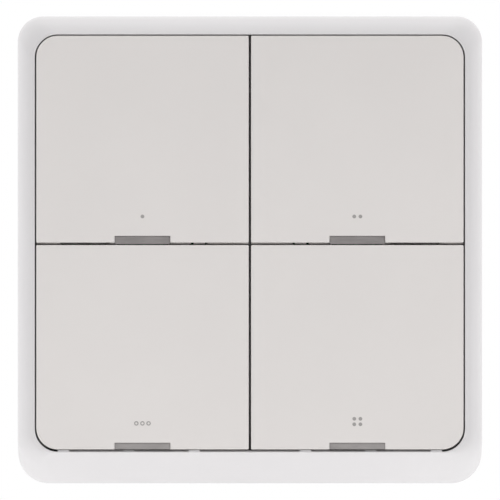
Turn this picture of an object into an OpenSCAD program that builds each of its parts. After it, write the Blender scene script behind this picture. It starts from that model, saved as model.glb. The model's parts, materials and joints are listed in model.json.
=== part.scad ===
// Four-button wireless wall panel: four tilting keys in a rounded frame with a sloping chin,
// over a key carrier, a circuit board, a coin cell, a rear housing and a wall plate.
// Everything is drawn as seen from the front: x to the right, y up, z out from the wall.
// stand() then sets it upright: the wall is the plane Y = 0 and the keys face -Y.

/* [Frame] */
// Overall width of the frame
frame_w = 82; // [78:0.5:90]
// Overall height of the frame
frame_h = 82.6; // [80:0.1:90]
// Width of the rounded rim beside the keys
rim_side = 3.05; // [2.6:0.05:4]
// Height of the rounded rim above the keys
rim_top = 3.25; // [2.6:0.05:4]
// Angle by which the rim leans back where it meets the upper keys
rim_top_lean = 26; // [0:1:35]
// Height of the sloping chin below the keys
chin_h = 5.75; // [4.5:0.05:7]
// Angle by which the chin leans back where it meets the keys
chin_lean = 56; // [50:1:60]
// Angle by which the chin leans back at its lower edge
chin_foot_lean = 72; // [66:1:80]
// Depth over which the rim rounds off
rim_depth = 4; // [3:0.1:5]
// Flat land between the rounded rim and the keys
rim_land = 0.15; // [0.1:0.05:0.4]
// Outer corner radius at the top
corner_top_r = 4.5; // [4:0.1:7]
// Outer corner radius at the bottom
corner_bottom_r = 5.4; // [4:0.1:7]
// Wall thickness of the frame
frame_wall = 1.6; // [1.3:0.1:2]
// Thickness of the frame's front lip
lip_t = 2.2; // [1.8:0.1:3]
// Depth of the shadow gap between the frame and the wall
shadow_gap = 2; // [1:0.1:2.6]
// Width of the pry notch in the bottom edge
notch_w = 9; // [6:0.5:14]
// Depth of the pry notch
notch_h = 1.2; // [0.8:0.1:2]

/* [Frame tabs] */
// Distance between neighbouring tabs under one key
tab_pitch = 11.55; // [9:0.05:12]
// Distance from the middle line to the first tab
tab_start = 9.8; // [6:0.1:12]
// Width of a tab
tab_w = 2; // [1.2:0.1:3]
// How far a tab reaches into the seam
tab_reach = 0.27; // [0.1:0.01:0.28]
// How far a tab lies behind the front face
tab_sink = 0.15; // [0.1:0.05:1]
// How far the tabs under the lower windows lie behind the front face
window_tab_sink = 0.5; // [0.1:0.05:1]
// How far the ledge between the tabs reaches into the seam
ledge_reach = 0.22; // [0.1:0.01:0.25]
// How far that ledge lies behind the front face
ledge_sink = 0.9; // [0.8:0.1:1.5]

/* [Keys] */
// Seam beside the keys
side_gap = 0.25; // [0.2:0.01:0.4]
// Seam above the keys
top_gap = 0.2; // [0.15:0.01:0.4]
// Seam below the keys
bottom_gap = 0.4; // [0.36:0.01:0.5]
// Seam between the two columns
column_gap = 0.42; // [0.3:0.01:0.6]
// Seam between the two rows
row_gap = 0.44; // [0.3:0.01:0.6]
// Height of the seam between the rows above the middle of the frame
row_seam_y = 1.13; // [-1:0.01:3]
// Radius of each key's outer corner
key_corner_r = 3.8; // [3:0.1:5]
// Thickness of a key
key_t = 1.8; // [1.5:0.1:2.2]
// Thickness of the skirt under a key's edge
skirt_t = 1; // [0.8:0.1:1.3]
// Depth of the skirt
skirt_h = 1; // [0.6:0.1:1.2]
// Room between the carrier and the underside of the keys
key_room = 3.2; // [3:0.1:4]

/* [Key lips] */
// How far an upper key's lip reaches down into the seam between the rows
key_lip_reach = 0.28; // [0.15:0.01:0.3]
// How far that lip lies behind the front face
key_lip_sink = 1.2; // [0.6:0.1:1.3]
// Distance from the middle of a key to the lip's wide gap
lip_gap_x = 5.8; // [5.5:0.1:8]
// Width of that gap
lip_gap_w = 8.7; // [4:0.1:10]
// How far the step in that gap lies below the underside of the key
lip_step_sink = 0.4; // [0.2:0.1:0.5]
// Thickness of that step
lip_step_t = 0.4; // [0.3:0.1:0.5]
// Distance from the middle of a key to the lip's two slots
lip_slots_x = 10.05; // [8:0.05:14]
// Distance between these slots
lip_slot_pitch = 2.5; // [1.5:0.1:4]
// Width of a slot
lip_slot_w = 0.45; // [0.3:0.05:0.8]

/* [Key marks] */
// Diameter of a mark dot
mark_d = 0.68; // [0.5:0.02:1]
// Distance between dots
mark_pitch = 1.08; // [1.02:0.02:2]
// Height of the dots above the key's lower edge
mark_rise = 4.6; // [3:0.1:8]
// Depth of the dots
mark_depth = 0.1; // [0.05:0.01:0.2]
// Outer diameter of a mark ring
ring_d = 0.8; // [0.6:0.02:1]
// Line width of a mark ring
ring_line = 0.2; // [0.1:0.01:0.28]

/* [Light windows] */
// Width of a light window
window_w = 9.75; // [7:0.05:13]
// Height of a light window
window_h = 1.14; // [1.1:0.02:2]
// How far an upper window reaches down into the seam between the rows
window_drop = 0.28; // [0.1:0.01:0.3]
// How far the window's flange reaches past it at each end
flange_reach = 1; // [0.6:0.1:2]
// Thickness of the flange
flange_t = 0.8; // [0.5:0.1:1]
// Width of the light pipe behind the window
pipe_w = 8; // [5:0.1:9]
// Step from the key's edge to the light pipe
pipe_step = 0.3; // [0.2:0.05:0.5]
// Clearance round the window in its key
window_fit = 0.04; // [0.02:0.01:0.1]

/* [Hinges] */
// Distance from a key's upper edge to its hinge line
hinge_inset = 4; // [3.4:0.1:6]
// Distance from the underside of a key to its hinge line
hinge_drop = 1.5; // [1.4:0.05:1.7]
// Diameter of a hinge pin
pin_d = 2; // [1.6:0.1:2.2]
// Radial clearance of a pin in its bearing
pin_fit = 0.05; // [0.02:0.01:0.1]
// Wall of a lug beside its pin
lug_wall = 0.7; // [0.5:0.05:1]
// How far a lug reaches below its pin
lug_foot = 0.3; // [0.1:0.05:0.4]
// Distance from the middle of a key to each of its lugs
lug_x = 13; // [9:0.1:14]
// Thickness of a lug
lug_t = 1.8; // [1.4:0.1:2.4]
// Thickness of a bearing block
bearing_t = 2; // [1.4:0.1:2.4]
// Wall of a bearing round its bore
bearing_wall = 1.05; // [0.8:0.05:1.3]
// How far a bearing reaches past its bore
bearing_crown = 0.1; // [0.05:0.01:0.15]
// Gap between a lug and its bearing
bearing_gap = 0.25; // [0.1:0.05:0.4]
// Opening through which a pin snaps into its bearing
bearing_mouth = 1.5; // [1:0.1:1.6]

/* [Hooks] */
// Distance of the inner hook from the middle of its key
hook_inner_x = 9.75; // [8:0.05:11]
// Distance of the outer hook from the middle of its key
hook_outer_x = 10.4; // [9:0.05:12]
// Width of a hook
hook_w = 2; // [1.4:0.1:2.4]
// Thickness of a hook's arm
hook_t = 0.9; // [0.7:0.1:1.2]
// How far a hook catches under the carrier
hook_catch = 0.6; // [0.4:0.1:0.8]
// Height of a hook's nose
hook_nose = 0.8; // [0.6:0.1:1]
// Play of a hook under the carrier
hook_play = 0.1; // [0.05:0.01:0.2]
// Width of the slot for the inner hook
slot_inner_w = 3; // [2.8:0.1:4]
// Width of the slot for the outer hook
slot_outer_w = 7.9; // [4:0.1:9]

/* [Switches] */
// Travel of a switch
switch_travel = 0.4; // [0.2:0.05:0.5]
// Distance from the hinge line down to the switch
switch_arm = 14; // [12:0.1:16]
// Width of a switch body
switch_w = 6.2; // [5:0.1:7]
// Height of a switch body
switch_h = 2.4; // [2:0.1:3]
// Diameter of a switch plunger
plunger_d = 3.4; // [2.5:0.1:4]
// Height of a plunger above its switch body
plunger_h = 1; // [0.8:0.1:1.4]
// Depth of a plunger inside its switch body
plunger_sunk = 1; // [0.8:0.1:1.2]
// Spare depth below a plunger
plunger_spare = 0.2; // [0.1:0.05:0.3]
// Radial clearance of a plunger in its body
plunger_fit = 0.05; // [0.02:0.01:0.1]
// Length of a switch's feet
foot_l = 1.1; // [0.8:0.1:1.4]
// Width of a switch's feet
foot_w = 0.7; // [0.5:0.1:1]
// Thickness of a switch's feet
foot_t = 0.25; // [0.2:0.05:0.4]
// Distance between the feet on one side of a switch
foot_pitch = 4.5; // [3.5:0.1:5]
// Diameter of the actuator under a key
actuator_d = 3.2; // [2:0.1:4]
// Gap between the actuator and its plunger
actuator_gap = 0.05; // [0.03:0.01:0.1]

/* [Springs] */
// Distance from the hinge line down to the return spring
spring_arm = 22; // [20:0.1:25]
// Outer diameter of a spring
spring_d = 4.4; // [3.6:0.1:5]
// Wire diameter of a spring
spring_wire = 0.4; // [0.3:0.02:0.5]
// Gap at each end of a spring
spring_gap = 0.05; // [0.03:0.01:0.1]
// Diameter of the post inside a spring
spring_post_d = 2.8; // [2:0.1:3.2]
// Turns of a spring
spring_turns = 3; // [2:1:3]

/* [Carrier] */
// Thickness of the key carrier
carrier_t = 1.5; // [1.2:0.1:2]
// Gap between the switch bodies and the carrier
carrier_gap = 0.5; // [0.3:0.1:0.6]
// Gap between the frame's inside and the carrier and tray
tray_gap = 0.25; // [0.2:0.01:0.35]
// Height of the ribs under the seams
seam_rib_h = 0.7; // [0.4:0.1:0.8]
// Thickness of the ribs under the seams
seam_rib_t = 0.8; // [0.6:0.1:1]
// Room round what passes through the carrier
pass_gap = 0.5; // [0.4:0.05:0.8]

/* [Screws] */
// Distance of the screws from the middle line
screw_x = 30; // [28:0.1:31]
// Distance of the upper screws from the carrier's upper edge
screw_top = 13.2; // [12:0.1:15]
// Distance of the lower screws from the carrier's lower edge
screw_bottom = 14.6; // [13:0.1:17]
// Diameter of a screw
screw_d = 2.2; // [1.8:0.1:2.5]
// Length of a screw under its head
screw_l = 6.8; // [6:0.1:7]
// Diameter of a screw head
screw_head_d = 4; // [3.4:0.1:4.4]
// Height of a screw head
screw_head_h = 1.5; // [1.2:0.1:1.8]
// Width of the cross in a screw head
screw_cross_w = 0.5; // [0.4:0.05:0.7]
// Depth of the cross in a screw head
screw_cross_h = 0.6; // [0.4:0.05:0.8]
// Outer diameter of the screw bosses
boss_d = 5.8; // [5.4:0.1:7]
// Radial clearance round a screw
screw_fit = 0.1; // [0.05:0.01:0.2]

/* [Circuit board] */
// Thickness of the circuit board
board_t = 1.2; // [0.8:0.1:1.6]
// Gap between the circuit board and the tray
board_gap = 0.3; // [0.2:0.05:0.5]
// Width of a light
led_w = 3.2; // [2:0.1:4]
// Depth of a light
led_d = 0.85; // [0.6:0.05:0.9]
// Height of a light
led_h = 0.9; // [0.6:0.1:1]
// Width of the radio module
radio_w = 13; // [10:0.5:15]
// Length of the radio module
radio_l = 17; // [12:0.5:19]
// Height of the radio module
radio_h = 2; // [1.5:0.1:2.2]
// Thickness of the radio module's own board
radio_board_t = 0.6; // [0.4:0.1:0.8]
// Step from the radio module's edge to its shield can
radio_can_step = 1; // [0.5:0.1:1.5]
// Width of the controller chip
chip_w = 7; // [4:0.5:8]
// Height of the controller chip
chip_h = 0.9; // [0.6:0.1:1.2]
// Distance of the controller chip below the seam between the rows
chip_drop = 11; // [9:0.1:13]
// Diameter of the dot that marks the chip's first pin
chip_dot_d = 0.7; // [0.5:0.1:1]
// Depth of that dot
chip_dot_h = 0.1; // [0.05:0.01:0.15]
// Length of the crystal's can
crystal_l = 3.2; // [2:0.1:4]
// Width of the crystal's can
crystal_w = 1.5; // [1:0.1:2]
// Height of the crystal's can
crystal_h = 0.8; // [0.5:0.1:1]
// Distance from the controller chip's edge to the crystal
crystal_gap = 2; // [1:0.1:4]
// Length of a small component
component_l = 1; // [0.6:0.1:1.6]
// Width of a small component
component_w = 0.5; // [0.3:0.05:0.8]
// Height of a small component
component_h = 0.45; // [0.3:0.05:0.7]
// Distance between small components
component_pitch = 1.5; // [1:0.1:2]
// Distance from the controller chip's edge to the small components
component_gap = 1.1; // [0.6:0.1:2]
// Width of the antenna
antenna_w = 14; // [10:0.5:18]
// Depth of the antenna's folds
antenna_l = 4.5; // [3:0.1:6]
// Width of the antenna's strip
antenna_strip = 0.9; // [0.6:0.1:1.2]
// Distance from the board's edge to the antenna
antenna_edge = 1; // [0.5:0.1:2]
// Thickness of the antenna
antenna_t = 0.2; // [0.1:0.05:0.4]

/* [Battery] */
// Diameter of the coin cell
cell_d = 24.5; // [20:0.1:24.5]
// Thickness of the coin cell
cell_t = 3; // [2.5:0.1:3.2]
// Height of the cell's smaller face
cell_step = 0.5; // [0.3:0.05:0.8]
// Step from the cell's rim to its smaller face
cell_rim = 1.2; // [0.8:0.1:2]
// Height of the contact springs on the board
contact_h = 0.6; // [0.5:0.05:1]
// Thickness of the contact strips
contact_t = 0.2; // [0.15:0.05:0.3]
// Width of the contact strips
contact_w = 4; // [3:0.1:6]
// Length of a contact's foot on the board
contact_foot = 4; // [3:0.1:5]
// Length of the sloping part of the inner contact
contact_slope = 4; // [3:0.1:6]
// Length of the inner contact's tip on the cell
contact_tip = 3; // [2:0.1:4]
// Gap between the cell and its contacts
cell_gap = 0.05; // [0.03:0.01:0.1]
// Radial clearance of the cell in its cap
cell_fit = 0.25; // [0.1:0.05:0.4]
// Wall of the battery cap's ring
cap_wall = 0.9; // [0.8:0.1:1.2]
// Thickness of the battery cap's flange
cap_flange_t = 1.1; // [0.9:0.1:1.2]
// How far the cap's flange reaches past its ring
cap_flange_reach = 2.2; // [2:0.1:3]
// How far the cap's bayonet lugs reach past its ring
cap_lug_reach = 1.1; // [0.8:0.1:1.3]
// Height of the cap's bayonet lugs
cap_lug_h = 0.9; // [0.7:0.1:1.2]
// Turn from locked to open
cap_turn = 45; // [40:1:55]
// Running clearance of the cap
cap_fit = 0.1; // [0.06:0.01:0.15]
// Length of the coin slot
coin_slot_l = 16; // [12:0.5:20]
// Width of the coin slot
coin_slot_w = 2; // [1.6:0.1:3]
// Depth of the coin slot
coin_slot_h = 0.6; // [0.4:0.05:0.7]

/* [Rear housing] */
// Clearance between the frame and the rear housing
frame_fit = 0.2; // [0.12:0.01:0.22]
// Wall of the housing's base
base_wall = 1.6; // [1.4:0.1:2]
// Thickness of the housing's floor
floor_t = 1.6; // [1.4:0.1:2]
// Wall of the housing's tray
tray_wall = 1.4; // [1.1:0.05:1.4]
// Wall of the battery well
well_wall = 1.2; // [0.9:0.1:1.5]
// Length of the snap ridges inside the frame
snap_l = 12; // [8:0.5:18]
// Height of the snap ridges
snap_h = 1; // [0.8:0.1:1.2]
// How far the snap ridges reach
snap_reach = 0.5; // [0.4:0.05:0.6]
// Clearance round a snap ridge
snap_fit = 0.1; // [0.05:0.01:0.15]

/* [Wall plate] */
// Thickness of the wall plate
plate_t = 2.4; // [2:0.1:3]
// Clearance of the wall plate in the housing
plate_fit = 0.25; // [0.15:0.01:0.3]
// Gap between the wall plate and the housing's floor
plate_gap = 1.2; // [1.1:0.1:1.6]
// Radius of the opening in the wall plate
plate_open_r = 21; // [19.5:0.5:22]
// Spacing of the wall screw slots
wall_spacing = 60; // [58:0.5:62]
// Width of a wall screw slot
wall_slot_w = 4.4; // [3.6:0.1:5]
// Overall length of a wall screw slot
wall_slot_l = 8; // [7:0.5:10]
// Width of the recess for a wall screw's head
wall_head_w = 7.6; // [6.6:0.1:8.4]
// Depth of the recess for a wall screw's head
wall_head_h = 1.2; // [0.8:0.1:1.4]

/* [Hidden] */
$fn = 48;
EPS = 0.01;
CUT = 1;
SIDES = [-1, 1];
PLACES = ["upper_left", "upper_right", "lower_left", "lower_right"];

// Depths, counted from the wall
floor_z = plate_t + plate_gap;
floor_top_z = floor_z + floor_t;
cell_z = floor_top_z + cell_gap;
board_z = cell_z + cell_t + contact_h;
board_top_z = board_z + board_t;
switch_top_z = board_top_z + switch_h;
plunger_top_z = switch_top_z + plunger_h;
carrier_z = switch_top_z + carrier_gap;
carrier_top_z = carrier_z + carrier_t;
key_under_z = carrier_top_z + key_room;
front_z = key_under_z + key_t;
hinge_z = key_under_z - hinge_drop;
lip_z = front_z - lip_t;

// Opening in the frame, and the keys inside it
open_x = frame_w / 2 - rim_side;
open_top = frame_h / 2 - rim_top;
open_bottom = chin_h - frame_h / 2;
open_r = key_corner_r + side_gap;
key_w = open_x - side_gap - column_gap / 2;
key_x = column_gap / 2 + key_w / 2;
key_tops = [open_top - top_gap, row_seam_y - row_gap / 2];
key_bottoms = [row_seam_y + row_gap / 2, open_bottom + bottom_gap];
tilt = switch_travel / switch_arm * 180 / PI;
edge_travel = (key_tops[0] - hinge_inset - key_bottoms[0]) * sin(tilt);

// Chin and rim of the frame
chin_angle = 90 - chin_lean;
foot_angle = 90 - chin_foot_lean;
chin_r = (chin_h - rim_land) / (cos(foot_angle) - cos(chin_angle));
chin_z = front_z - chin_r * (sin(chin_angle) - sin(foot_angle));
chin_shelf = 0.3;
shelf_y = open_bottom - chin_shelf;
cavity_low = frame_wall - frame_h / 2;
cavity_high = frame_h / 2 - frame_wall;
rim_steps = 8;
chin_steps = 6;
rim_levels = [for (k = [0 : rim_steps]) front_z - rim_depth * (1 - sin(90 * k / rim_steps))];
chin_levels = [for (k = [1 : chin_steps])
    chin_z + chin_r * (sin(ease(foot_angle, chin_angle, k / chin_steps)) - sin(foot_angle))];
last_tab = 2;
window_tab = 1;
ledge_x = tab_start + last_tab * tab_pitch;

// Bearings, light pipes, tray and battery
bearing_r = pin_d / 2 + pin_fit;
bearing_w = 2 * (bearing_r + bearing_wall);
pin_l = bearing_gap + bearing_t;
lug_w = pin_d + 2 * lug_wall;
pipe_end_z = board_top_z + led_h + edge_travel + pass_gap;
tray_x = frame_w / 2 - frame_wall - tray_gap;
tray_top = frame_h / 2 - frame_wall - tray_gap;
tray_bottom = ease(cavity_low, shelf_y, (carrier_top_z - chin_z) / (lip_z - chin_z)) + tray_gap;
tray_r = open_r + tray_x - open_x;
screw_spots = [for (s = SIDES, y = [tray_top - screw_top, tray_bottom + screw_bottom]) [s * screw_x, y]];
screw_head_z = carrier_top_z - screw_head_h;
chip_y = row_seam_y - chip_drop;
ring_in_r = cell_d / 2 + cell_fit;
ring_r = ring_in_r + cap_wall;
cap_lug_r = ring_r + cap_lug_reach;
cap_lug_z = floor_top_z + cap_fit;
cap_lug_angle = 30;
cap_entry_angle = 38;
cap_lugs = [0, 120, 240];
well_r = cap_lug_r + 2 * cap_fit;
well_top_z = board_z - board_gap;
base_inset = frame_wall + frame_fit;
snap_z = shadow_gap + snap_h / 2;
plate_snap_z = (plate_t - snap_h) / 2;

// Side (-1 left, 1 right) and row (0 upper, 1 lower) of place number p
function side_of(p) = SIDES[p % 2];
function row_of(p) = floor(p / 2);
function mid_x(p) = side_of(p) * key_x;
function low_y(p) = key_bottoms[row_of(p)];
function hinge_y(p) = key_tops[row_of(p)] - hinge_inset;

// How far the chin, and a rim that turns by an angle, have drawn in at depth z
function chin_in(z) = let (u = max(0, z - chin_z) + chin_r * sin(foot_angle))
    chin_r * cos(foot_angle) - sqrt(chin_r * chin_r - u * u);
function rim_in(z, width, angle) = let (u = max(0, 1 - (front_z - z) / rim_depth) * sin(angle))
    width * (1 - sqrt(1 - u * u)) / (1 - cos(angle));
function ease(from, to, share) = from + (to - from) * share;

module stand() {
    rotate([90, 0, 0]) children();
}

// A block between two corners
module block(low, high) {
    translate(low) cube(high - low);
}

module disc(r, z, height) {
    translate([0, 0, z]) cylinder(r = r, h = height);
}

module slab(z, height) {
    translate([0, 0, z]) linear_extrude(height) children();
}

// Outline with its own corner radius at the top and at the bottom
module outline(half_w, top, bottom, top_r, bottom_r) {
    translate([-half_w, bottom + bottom_r]) square([2 * half_w, top - top_r - bottom - bottom_r]);
    translate([-half_w + top_r, top - 2 * top_r]) square([2 * (half_w - top_r), 2 * top_r]);
    translate([-half_w + bottom_r, bottom]) square([2 * (half_w - bottom_r), 2 * bottom_r]);
    for (s = SIDES) {
        translate([s * (half_w - top_r), top - top_r]) circle(top_r);
        translate([s * (half_w - bottom_r), bottom + bottom_r]) circle(bottom_r);
    }
}

module frame_outline(inset) {
    outline(frame_w / 2 - inset, frame_h / 2 - inset, inset - frame_h / 2,
        corner_top_r - inset, corner_bottom_r - inset);
}

module tray_outline(inset) {
    outline(tray_x - inset, tray_top - inset, tray_bottom + inset, tray_r - inset, tray_r - inset);
}

// The frame's outer outline at depth z
module frame_slice(z) {
    side = rim_in(z, rim_side - rim_land, 90);
    share = side / (rim_side - rim_land);
    chin_share = chin_in(z) / (chin_h - rim_land);
    slab(z - EPS, EPS) outline(
        frame_w / 2 - side,
        frame_h / 2 - rim_in(z, rim_top - rim_land, 90 - rim_top_lean),
        chin_in(z) - frame_h / 2,
        ease(corner_top_r, open_r + rim_land, share),
        ease(corner_bottom_r, open_r + rim_land, chin_share),
        $fn = 32);
}

// Snap ridges on the left, right, top and bottom of a rectangle, or the grooves for them
module snap_ridges(half_w, half_h, z, reach, spare) {
    for (s = SIDES) {
        translate([s * half_w, 0, z + snap_h / 2])
            cube([2 * reach, snap_l + 2 * spare, snap_h + 2 * spare], center = true);
        translate([0, s * half_h, z + snap_h / 2])
            cube([snap_l + 2 * spare, 2 * reach, snap_h + 2 * spare], center = true);
    }
}

module frame_cavity() {
    intersection() {
        slab(shadow_gap - CUT, front_z) frame_outline(frame_wall);
        translate([-frame_w / 2, 0, 0]) rotate([90, 0, 90]) linear_extrude(frame_w) polygon([
            [cavity_low, 0], [cavity_low, chin_z], [shelf_y, lip_z], [cavity_high, lip_z], [cavity_high, 0]]);
    }
}

module front_frame() {
    color("whitesmoke") stand() {
        difference() {
            hull() {
                slab(shadow_gap, chin_z - shadow_gap) frame_outline(0, $fn = 32);
                for (z = concat(rim_levels, chin_levels)) frame_slice(z);
            }
            frame_cavity();
            slab(lip_z - CUT, front_z) outline(open_x, open_top, open_bottom, open_r, open_r);
            block([-notch_w / 2, -frame_h / 2 - CUT, 0],
                [notch_w / 2, frame_wall - frame_h / 2 + CUT, shadow_gap + notch_h]);
        }
        snap_ridges(frame_w / 2 - frame_wall, cavity_high, snap_z, snap_reach, 0);
        for (s = SIDES, k = [0 : last_tab]) {
            x = s * (tab_start + k * tab_pitch);
            sink = k == window_tab ? window_tab_sink : tab_sink;
            block([x - tab_w / 2, open_bottom - chin_shelf / 2, lip_z],
                [x + tab_w / 2, open_bottom + tab_reach, front_z - sink]);
        }
        block([-ledge_x, open_bottom - chin_shelf / 2, lip_z],
            [ledge_x, open_bottom + ledge_reach, front_z - ledge_sink]);
    }
}

module key_outline(p, inset) {
    s = side_of(p);
    w = key_w / 2 - inset;
    top = key_tops[row_of(p)] - inset;
    bottom = low_y(p) + inset;
    r = key_corner_r - inset;
    corner_y = row_of(p) == 0 ? top - r : bottom + r;
    cut_y = row_of(p) == 0 ? top : bottom;
    difference() {
        translate([mid_x(p) - w, bottom]) square([2 * w, top - bottom]);
        difference() {
            translate([mid_x(p) + s * w, cut_y]) square(2 * r, center = true);
            translate([mid_x(p) + s * (w - r), corner_y]) circle(r);
            translate([mid_x(p) + s * (w - r) - s * r - r, corner_y - r]) square([2 * r, 2 * r]);
        }
    }
}

module key_hook(x, y) {
    nose_z = carrier_z - hook_play - hook_nose;
    block([x - hook_w / 2, y, nose_z], [x + hook_w / 2, y + hook_t, key_under_z]);
    block([x - hook_w / 2, y, nose_z], [x + hook_w / 2, y + hook_t + hook_catch, nose_z + hook_nose]);
}

// Dots that number the keys: one, two, three rings, and four in a square
module key_marks(p) {
    spots = [[[0, 0]], [[-0.5, 0], [0.5, 0]], [[-1, 0], [0, 0], [1, 0]],
        [[-0.5, -0.15], [0.5, -0.15], [-0.5, 0.75], [0.5, 0.75]]];
    translate([mid_x(p), low_y(p) + mark_rise, front_z - mark_depth])
        for (spot = spots[p]) translate(spot * mark_pitch) difference() {
            cylinder(d = p == 2 ? ring_d : mark_d, h = mark_depth + CUT);
            if (p == 2) disc(ring_d / 2 - ring_line, -CUT, mark_depth + 3 * CUT);
        }
}

// Lip along an upper key's lower edge, in the seam between the rows: it leaves room for the window,
// and has a wide gap with a lower step on its outer side and two slots on its inner side
module key_lip(p) {
    s = side_of(p);
    y = low_y(p);
    low_z = key_under_z - CUT;
    step_z = key_under_z - lip_step_sink;
    step_ends = [mid_x(p) + s * lip_gap_x, mid_x(p) + s * (lip_gap_x + lip_gap_w)];
    gaps = [[-window_w / 2 - 2 * window_fit, window_w / 2 + 2 * window_fit],
        [lip_gap_x, lip_gap_x + lip_gap_w],
        for (k = SIDES) let (u = k * lip_slot_pitch / 2 - lip_slots_x)
            [u - lip_slot_w / 2, u + lip_slot_w / 2]];
    difference() {
        block([mid_x(p) - key_w / 2, y - key_lip_reach, key_under_z],
            [mid_x(p) + key_w / 2, y + EPS, front_z - key_lip_sink]);
        for (gap = gaps) {
            ends = [mid_x(p) + s * gap[0], mid_x(p) + s * gap[1]];
            block([min(ends), y - CUT, low_z], [max(ends), y + CUT, front_z]);
        }
    }
    block([min(step_ends), y - key_lip_reach, step_z - lip_step_t], [max(step_ends), y + EPS, step_z]);
}

module button(p) {
    x = mid_x(p);
    y = low_y(p);
    color("gainsboro") stand() {
        difference() {
            union() {
                slab(key_under_z, key_t) key_outline(p, 0);
                slab(key_under_z - skirt_h, skirt_h + EPS) difference() {
                    key_outline(p, 0);
                    key_outline(p, skirt_t);
                }
            }
            block([x - window_w / 2 - window_fit, y - CUT, key_under_z - skirt_h - CUT],
                [x + window_w / 2 + window_fit, y + window_h + window_fit, front_z + CUT]);
            key_marks(p);
        }
        for (s = SIDES) {
            face_x = x + s * (lug_x + lug_t / 2);
            block([x + s * lug_x - lug_t / 2, hinge_y(p) - lug_w / 2, hinge_z - pin_d / 2 - lug_foot],
                [x + s * lug_x + lug_t / 2, hinge_y(p) + lug_w / 2, key_under_z + EPS]);
            translate([face_x - s * EPS, hinge_y(p), hinge_z]) rotate([0, s * 90, 0])
                cylinder(d = pin_d, h = pin_l);
        }
        translate([x, hinge_y(p) - switch_arm, plunger_top_z + actuator_gap + actuator_d / 2]) {
            sphere(d = actuator_d);
            cylinder(d = actuator_d, h = key_under_z - plunger_top_z - actuator_gap - actuator_d / 2 + EPS);
        }
        translate([x, hinge_y(p) - spring_arm, key_under_z - skirt_h])
            cylinder(d = spring_post_d, h = skirt_h + EPS);
        key_hook(x - side_of(p) * hook_inner_x, y + skirt_t - EPS);
        key_hook(x + side_of(p) * hook_outer_x, y + skirt_t - EPS);
        if (row_of(p) == 0) key_lip(p);
    }
}

module light_window(p) {
    x = mid_x(p);
    y = low_y(p);
    drop = row_of(p) == 0 ? window_drop : 0;
    flange_z = key_under_z - flange_t;
    color("dimgray") stand() {
        block([x - window_w / 2, y - drop, flange_z], [x + window_w / 2, y + window_h, front_z]);
        block([x - window_w / 2 - flange_reach, y + skirt_t + window_fit, flange_z],
            [x + window_w / 2 + flange_reach, y + window_h + flange_reach, key_under_z]);
        block([x - pipe_w / 2, y + pipe_step, pipe_end_z], [x + pipe_w / 2, y + window_h, flange_z + EPS]);
    }
}

// Compression spring between the carrier and a key, as one tube along a helix
module return_spring(p) {
    per_turn = 8;
    rings = spring_turns * per_turn;
    ring_sides = 6;
    wire_r = spring_wire / 2;
    coil_r = spring_d / 2 - wire_r;
    low_z = carrier_top_z + wire_r + spring_gap;
    pitch = (key_room - spring_wire - 2 * spring_gap) / spring_turns;
    points = [for (k = [0 : rings], j = [0 : ring_sides - 1])
        let (turn = 360 * k / per_turn, a = 360 * j / ring_sides, r = coil_r + wire_r * cos(a))
        [r * cos(turn), r * sin(turn), low_z + pitch * k / per_turn + wire_r * sin(a)]];
    skin = [for (k = [0 : rings - 1], j = [0 : ring_sides - 1])
        let (a = k * ring_sides + j, b = k * ring_sides + (j + 1) % ring_sides)
        each [[a, b, a + ring_sides], [b, b + ring_sides, a + ring_sides]]];
    start = [for (j = [1 : ring_sides - 2]) [0, j + 1, j]];
    last = rings * ring_sides;
    end = [for (j = [1 : ring_sides - 2]) [last, last + j, last + j + 1]];
    color("silver") stand() translate([mid_x(p), hinge_y(p) - spring_arm, 0])
        polyhedron(points, concat(skin, start, end));
}

// Block with a bore for a hinge pin, open towards the front so that the pin snaps in
module bearing(p, s) {
    inner_x = mid_x(p) + s * (lug_x + lug_t / 2 + bearing_gap);
    top_z = hinge_z + bearing_r + bearing_crown;
    translate([inner_x + s * bearing_t / 2, hinge_y(p), 0]) difference() {
        block([-bearing_t / 2, -bearing_w / 2, carrier_top_z - EPS], [bearing_t / 2, bearing_w / 2, top_z]);
        translate([-bearing_t, 0, hinge_z]) rotate([0, 90, 0]) cylinder(r = bearing_r, h = 2 * bearing_t);
        block([-bearing_t, -bearing_mouth / 2, hinge_z], [bearing_t, bearing_mouth / 2, top_z + CUT]);
    }
}

// Openings in the carrier for one key's actuator, light pipe and hooks
module carrier_openings(p) {
    x = mid_x(p);
    y = low_y(p);
    low = carrier_z - CUT;
    high = carrier_top_z + seam_rib_h + CUT;
    hook_high = y + skirt_t + hook_t + pass_gap / 2;
    translate([x, hinge_y(p) - switch_arm, low])
        cylinder(d = max(actuator_d, plunger_d) + 2 * pass_gap, h = high - low);
    block([x - pipe_w / 2 - pass_gap, y - pass_gap, low],
        [x + pipe_w / 2 + pass_gap, y + window_h + pass_gap, high]);
    inner = x - side_of(p) * hook_inner_x;
    block([inner - slot_inner_w / 2, y - pass_gap, low], [inner + slot_inner_w / 2, hook_high, high]);
    outer = x + side_of(p) * hook_outer_x;
    block([outer - slot_outer_w / 2, y - pass_gap, low], [outer + slot_outer_w / 2, hook_high, high]);
}

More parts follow.
